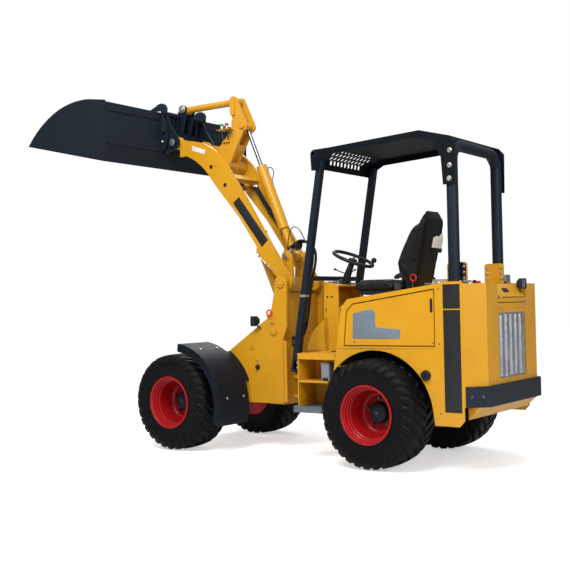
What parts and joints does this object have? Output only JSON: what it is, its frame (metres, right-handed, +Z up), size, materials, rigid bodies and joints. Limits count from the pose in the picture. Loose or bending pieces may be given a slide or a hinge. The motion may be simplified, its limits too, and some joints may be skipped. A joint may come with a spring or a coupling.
{
  "type": "compact wheel loader",
  "caption": "Compact articulated wheel loader with its twin-plate boom raised, a wide light-material bucket, an open four-post canopy and a steering wheel, standing on four flotation tyres.",
  "frame": {"origin": "Centre of the bounding box's bottom, on the ground plane", "axes": "+Z up, +Y towards the machine's rear, +X towards its left side"},
  "size_m": [1.89, 4.27, 3.0449],
  "materials": {
    "machine_yellow": "satin",
    "chassis_steel": "satin",
    "axle_black": "satin",
    "engine_grey": "matte",
    "black_plastic": "matte",
    "seat_vinyl": "satin",
    "crank_orange": "satin",
    "pin_steel": "satin",
    "rod_chrome": "polished",
    "rim_red": "gloss",
    "tyre_rubber": "matte"
  },
  "bodies": {
    "rear_body": {"rear_chassis": "chassis_steel", "platform": "machine_yellow", "rear_axle": "axle_black", "engine_block": "engine_grey", "body_panels": "machine_yellow", "hood_top": "machine_yellow", "rear_cover": "machine_yellow", "radiator_grille": "pin_steel", "rear_bumper": "chassis_steel", "dash_console": "machine_yellow", "steering_column": "black_plastic", "seat_base": "chassis_steel", "seat_cushion": "seat_vinyl", "seat_back": "seat_vinyl", "rops_hoop": "chassis_steel", "rops_brackets": "machine_yellow", "canopy_roof": "chassis_steel", "canopy_posts": "chassis_steel"},
    "rear_lid": {"rear_lid": "machine_yellow"},
    "door_left": {"door_left": "machine_yellow"},
    "door_right": {"door_right": "machine_yellow"},
    "steering_wheel": {"steering_wheel": "black_plastic"},
    "front_body": {"front_frame": "machine_yellow", "front_axle": "axle_black", "front_fenders": "chassis_steel", "boom_pins": "pin_steel"},
    "boom": {"boom_arms": "machine_yellow"},
    "crank_pin": {"crank_pin": "pin_steel"},
    "bell_crank": {"bell_crank": "crank_orange"},
    "link_pin": {"link_pin": "crank_orange"},
    "link_rod": {"link_rod": "crank_orange"},
    "coupler_pin": {"coupler_pin": "pin_steel"},
    "tool": {"quick_coupler": "chassis_steel", "bucket": "chassis_steel"},
    "lift_cylinder_barrel": {"lift_cylinder_barrel": "machine_yellow"},
    "lift_cylinder_rod": {"lift_cylinder_rod": "rod_chrome"},
    "tilt_base_pin": {"tilt_base_pin": "pin_steel"},
    "tilt_cylinder_barrel": {"tilt_cylinder_barrel": "machine_yellow"},
    "tilt_cylinder_rod": {"tilt_cylinder_rod": "rod_chrome"},
    "steering_cylinder_barrel": {"steering_cylinder_barrel": "chassis_steel"},
    "steering_cylinder_rod": {"steering_cylinder_rod": "rod_chrome"},
    "wheel_front_left": {"tyre_front_left": "tyre_rubber", "rim_front_left": "rim_red"},
    "wheel_front_right": {"tyre_front_right": "tyre_rubber", "rim_front_right": "rim_red"},
    "wheel_rear_left": {"tyre_rear_left": "tyre_rubber", "rim_rear_left": "rim_red"},
    "wheel_rear_right": {"tyre_rear_right": "tyre_rubber", "rim_rear_right": "rim_red"}
  },
  "joints": [
    {"name": "articulation", "type": "hinge", "parent": "rear_body", "child": "front_body", "pos_m": [0, 0.321, 0.457], "axis": [0, 0, 1], "range_deg": [-40, 40]},
    {"name": "wheel_front_left_spin", "type": "hinge", "parent": "front_body", "child": "wheel_front_left", "pos_m": [0.55, -0.646, 0.4], "axis": [1, 0, 0], "continuous": true},
    {"name": "wheel_front_right_spin", "type": "hinge", "parent": "front_body", "child": "wheel_front_right", "pos_m": [-0.55, -0.646, 0.4], "axis": [1, 0, 0], "continuous": true},
    {"name": "wheel_rear_left_spin", "type": "hinge", "parent": "rear_body", "child": "wheel_rear_left", "pos_m": [0.55, 1.288, 0.4], "axis": [1, 0, 0], "continuous": true},
    {"name": "wheel_rear_right_spin", "type": "hinge", "parent": "rear_body", "child": "wheel_rear_right", "pos_m": [-0.55, 1.288, 0.4], "axis": [1, 0, 0], "continuous": true},
    {"name": "steering_wheel_spin", "type": "hinge", "parent": "rear_body", "child": "steering_wheel", "pos_m": [0, 0.749, 1.557], "axis": [0, 0.4067, 0.9135], "continuous": true},
    {"name": "door_left_hinge", "type": "hinge", "parent": "rear_body", "child": "door_left", "pos_m": [0.565, 1.4375, 1.246], "axis": [0, -0.9903, -0.1388], "range_deg": [0, 80]},
    {"name": "door_right_hinge", "type": "hinge", "parent": "rear_body", "child": "door_right", "pos_m": [-0.565, 1.4375, 1.246], "axis": [0, 0.9903, 0.1388], "range_deg": [0, 80]},
    {"name": "rear_lid_hinge", "type": "hinge", "parent": "rear_body", "child": "rear_lid", "pos_m": [0, 2.003, 1.321], "axis": [1, 0, 0], "range_deg": [0, 70]},
    {"name": "boom_lift", "type": "hinge", "parent": "front_body", "child": "boom", "pos_m": [0, 0.209, 1.377], "axis": [1, 0, 0], "range_deg": [0, 86]},
    {"name": "coupler_level", "type": "hinge", "parent": "boom", "child": "coupler_pin", "pos_m": [0, -0.989, 2.672], "axis": [1, 0, 0], "range_deg": [-67.19, 0.5]},
    {"name": "bucket_tilt", "type": "hinge", "parent": "coupler_pin", "child": "tool", "pos_m": [0, -0.989, 2.672], "axis": [-1, 0, 0], "range_deg": [-45, 35]},
    {"name": "crank_level", "type": "hinge", "parent": "boom", "child": "crank_pin", "pos_m": [0, -0.539, 2.442], "axis": [1, 0, 0], "range_deg": [-40.88, 0.5]},
    {"name": "crank_tilt", "type": "hinge", "parent": "crank_pin", "child": "bell_crank", "pos_m": [0, -0.539, 2.442], "axis": [-1, 0, 0], "range_deg": [-25.63, 20.05]},
    {"name": "link_level", "type": "hinge", "parent": "bell_crank", "child": "link_pin", "pos_m": [0, -0.438, 3.002], "axis": [1, 0, 0], "range_deg": [-0.5, 36.44]},
    {"name": "link_tilt", "type": "hinge", "parent": "link_pin", "child": "link_rod", "pos_m": [0, -0.438, 3.002], "axis": [-1, 0, 0], "range_deg": [-14.35, 18.3]},
    {"name": "tilt_cylinder_level", "type": "hinge", "parent": "front_body", "child": "tilt_base_pin", "pos_m": [0, 0.156, 1.602], "axis": [1, 0, 0], "range_deg": [-0.5, 92.13]},
    {"name": "tilt_cylinder_swing", "type": "hinge", "parent": "tilt_base_pin", "child": "tilt_cylinder_barrel", "pos_m": [0, 0.156, 1.602], "axis": [-1, 0, 0], "range_deg": [-3.74, 3.02]},
    {"name": "tilt_cylinder_stroke", "type": "slide", "parent": "tilt_cylinder_barrel", "child": "tilt_cylinder_rod", "axis": [0, -0.3877, 0.9218], "range_m": [-0.1058, 0.1355]},
    {"name": "lift_cylinder_swing", "type": "hinge", "parent": "front_body", "child": "lift_cylinder_barrel", "pos_m": [0, 0.131, 0.985], "axis": [1, 0, 0], "range_deg": [-0.5, 79.04]},
    {"name": "lift_cylinder_stroke", "type": "slide", "parent": "lift_cylinder_barrel", "child": "lift_cylinder_rod", "axis": [0, -0.4084, 0.9128], "range_m": [-0.5288, 0.002]},
    {"name": "steering_cylinder_swing", "type": "hinge", "parent": "rear_body", "child": "steering_cylinder_barrel", "pos_m": [0.205, 0.751, 0.702], "axis": [0, 0, 1], "range_deg": [-2.64, 2.64]},
    {"name": "steering_cylinder_stroke", "type": "slide", "parent": "steering_cylinder_barrel", "child": "steering_cylinder_rod", "axis": [-0.1942, -0.981, 0], "range_m": [-0.0795, 0.0795]}
  ],
  "couplings": [
    {"joint": "coupler_level", "follows": "boom_lift", "ratio": -0.7755},
    {"joint": "crank_level", "follows": "boom_lift", "ratio": -0.4695},
    {"joint": "crank_tilt", "follows": "bucket_tilt", "ratio": 0.5585},
    {"joint": "link_level", "follows": "boom_lift", "ratio": 0.4179},
    {"joint": "link_tilt", "follows": "bucket_tilt", "ratio": -0.3956},
    {"joint": "tilt_cylinder_level", "follows": "boom_lift", "ratio": 1.0655},
    {"joint": "tilt_cylinder_swing", "follows": "bucket_tilt", "ratio": 0.072},
    {"joint": "tilt_cylinder_stroke", "follows": "bucket_tilt", "m_per_rad": -0.17},
    {"joint": "lift_cylinder_swing", "follows": "boom_lift", "ratio": 0.9132},
    {"joint": "lift_cylinder_stroke", "follows": "boom_lift", "m_per_rad": -0.351},
    {"joint": "steering_cylinder_swing", "follows": "articulation", "ratio": 0.0535},
    {"joint": "steering_cylinder_stroke", "follows": "articulation", "m_per_rad": -0.111}
  ]
}
